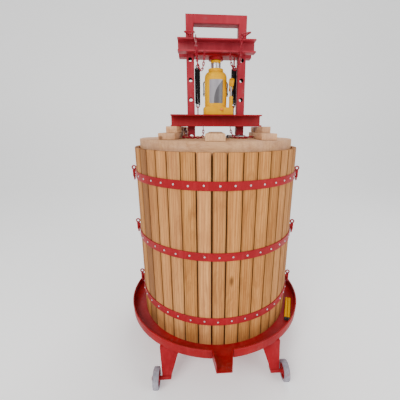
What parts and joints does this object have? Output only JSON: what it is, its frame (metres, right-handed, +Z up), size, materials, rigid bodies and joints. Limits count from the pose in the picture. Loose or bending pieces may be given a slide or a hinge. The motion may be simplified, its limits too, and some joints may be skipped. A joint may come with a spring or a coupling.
{
  "type": "basket wine press",
  "caption": "Free-standing basket press: slatted oak basket on a spouted steel tray, with a yoke, sprung beams and a bottle jack that drives a planked disc, on wheels",
  "frame": {"origin": "on the floor, under the middle of the whole press; the press axis is 36 mm behind it along +Y", "axes": "+Z up, -Y is the front with the spout and the wheels, +X is the right seen from the front"},
  "size_m": [1.038, 1.11, 1.775],
  "materials": {
    "red_paint": "satin red enamel",
    "oak_staves": "planed oak, lightly oiled",
    "oak_planks": "sawn and sanded oak",
    "yellow_paint": "gloss yellow enamel",
    "bright_steel": "bright zinc",
    "black_steel": "black oxide",
    "wheel_rubber": "worn grey rubber",
    "orange_knob": "gloss"
  },
  "bodies": {
    "frame": {"tray": "red_paint", "base_beam": "red_paint", "leg_front_left": "red_paint", "leg_front_right": "red_paint", "leg_rear_left": "red_paint", "leg_rear_right": "red_paint", "yoke": "red_paint", "upper_channel_front": "red_paint", "upper_channel_rear": "red_paint", "pressure_plate": "red_paint", "return_spring_left": "black_steel", "return_spring_right": "black_steel", "upper_chain_left": "red_paint", "upper_chain_right": "red_paint"},
    "wheel_left": {"wheel_left": "wheel_rubber"},
    "wheel_right": {"wheel_right": "wheel_rubber"},
    "head": {"lower_channel_front": "red_paint", "lower_channel_rear": "red_paint", "lower_spacer_left": "red_paint", "lower_spacer_right": "red_paint", "jack_base": "yellow_paint", "jack_body": "yellow_paint", "pump_cylinder": "yellow_paint", "carry_handle": "black_steel"},
    "ram": {"jack_ram": "bright_steel", "jack_saddle": "yellow_paint"},
    "pump_lever": {"handle_socket": "yellow_paint"},
    "pump_piston": {"pump_piston": "bright_steel"},
    "release_valve": {"release_valve": "orange_knob"},
    "press_stack": {"press_disc_front": "oak_planks", "press_disc_rear": "oak_planks", "batten_left_front": "oak_planks", "batten_left_rear": "oak_planks", "batten_centre": "oak_planks", "batten_right": "oak_planks", "block_left_front": "oak_planks", "block_left_rear": "oak_planks", "block_right_front": "oak_planks", "block_right_rear": "oak_planks", "lower_pin_left": "bright_steel", "lower_pin_right": "bright_steel", "lower_chain_left": "red_paint", "lower_chain_right": "red_paint"},
    "basket_rear": {"basket_rear": "oak_staves", "hoop_top_rear": "red_paint", "hoop_bottom_rear": "red_paint"},
    "basket_front": {"basket_front": "oak_staves", "hoop_top_front": "red_paint", "hoop_bottom_front": "red_paint"},
    "upper_pin_left": {"upper_pin_left": "red_paint"},
    "upper_pin_right": {"upper_pin_right": "red_paint"},
    "jack_rod_outer": {"jack_rod_outer": "yellow_paint"},
    "jack_rod_inner": {"jack_rod_inner": "yellow_paint"},
    "latch_pin_top_left": {"latch_pin_top_left": "red_paint"},
    "latch_pin_top_right": {"latch_pin_top_right": "red_paint"},
    "latch_pin_middle_left": {"latch_pin_middle_left": "red_paint"},
    "latch_pin_middle_right": {"latch_pin_middle_right": "red_paint"},
    "latch_pin_bottom_left": {"latch_pin_bottom_left": "red_paint"},
    "latch_pin_bottom_right": {"latch_pin_bottom_right": "red_paint"}
  },
  "joints": [
    {"name": "wheel_left_spin", "type": "hinge", "parent": "frame", "child": "wheel_left", "pos_m": [-0.322, -0.448, 0.05], "axis": [1, 0, 0], "continuous": true},
    {"name": "wheel_right_spin", "type": "hinge", "parent": "frame", "child": "wheel_right", "pos_m": [0.322, -0.448, 0.05], "axis": [1, 0, 0], "continuous": true},
    {"name": "jack_stroke", "type": "slide", "parent": "frame", "child": "head", "axis": [0, 0, -1], "range_m": [0, 0.12], "stiffness_N_per_m": 6500, "springref_m": -0.12, "deforming": ["return_spring_left", "return_spring_right"]},
    {"name": "ram_extension", "type": "slide", "parent": "head", "child": "ram", "axis": [0, 0, 1], "range_m": [0, 0.12]},
    {"name": "press_stack_travel", "type": "slide", "parent": "frame", "child": "press_stack", "axis": [0, 0, -1], "range_m": [0, 0.12]},
    {"name": "basket_lift", "type": "slide", "parent": "frame", "child": "basket_rear", "axis": [0, 0, 1], "range_m": [0, 0.25]},
    {"name": "basket_front_lift", "type": "slide", "parent": "basket_rear", "child": "basket_front", "axis": [0, 0, 1], "range_m": [0, 0.18]},
    {"name": "latch_pin_top_left_pull", "type": "slide", "parent": "basket_front", "child": "latch_pin_top_left", "axis": [0, 0, 1], "range_m": [0, 0.07]},
    {"name": "latch_pin_top_right_pull", "type": "slide", "parent": "basket_front", "child": "latch_pin_top_right", "axis": [0, 0, 1], "range_m": [0, 0.07]},
    {"name": "latch_pin_middle_left_pull", "type": "slide", "parent": "basket_front", "child": "latch_pin_middle_left", "axis": [0, 0, 1], "range_m": [0, 0.07]},
    {"name": "latch_pin_middle_right_pull", "type": "slide", "parent": "basket_front", "child": "latch_pin_middle_right", "axis": [0, 0, 1], "range_m": [0, 0.07]},
    {"name": "latch_pin_bottom_left_pull", "type": "slide", "parent": "basket_front", "child": "latch_pin_bottom_left", "axis": [0, 0, 1], "range_m": [0, 0.07]},
    {"name": "latch_pin_bottom_right_pull", "type": "slide", "parent": "basket_front", "child": "latch_pin_bottom_right", "axis": [0, 0, 1], "range_m": [0, 0.07]},
    {"name": "upper_pin_left_pull", "type": "slide", "parent": "frame", "child": "upper_pin_left", "axis": [0, -1, 0], "range_m": [0, 0.12]},
    {"name": "upper_pin_right_pull", "type": "slide", "parent": "frame", "child": "upper_pin_right", "axis": [0, -1, 0], "range_m": [0, 0.12]},
    {"name": "pump_lever_swing", "type": "hinge", "parent": "head", "child": "pump_lever", "pos_m": [0.077, 0.016, 1.43], "axis": [1, 0, 0], "range_deg": [0, 40]},
    {"name": "pump_piston_stroke", "type": "slide", "parent": "head", "child": "pump_piston", "axis": [0, 0, -1], "range_m": [0, 0.02]},
    {"name": "release_valve_turn", "type": "hinge", "parent": "head", "child": "release_valve", "pos_m": [0.026, -0.037, 1.332], "axis": [0, -1, 0], "range_deg": [0, 180]},
    {"name": "jack_rod_outer_lift", "type": "slide", "parent": "frame", "child": "jack_rod_outer", "axis": [0, 0, 1], "range_m": [0, 0.12]},
    {"name": "jack_rod_inner_lift", "type": "slide", "parent": "frame", "child": "jack_rod_inner", "axis": [0, 0, 1], "range_m": [0, 0.12]}
  ],
  "couplings": [
    {"joint": "ram_extension", "follows": "jack_stroke", "ratio": 1},
    {"joint": "press_stack_travel", "follows": "jack_stroke", "ratio": 1},
    {"joint": "pump_piston_stroke", "follows": "pump_lever_swing", "m_per_rad": 0.0258}
  ]
}
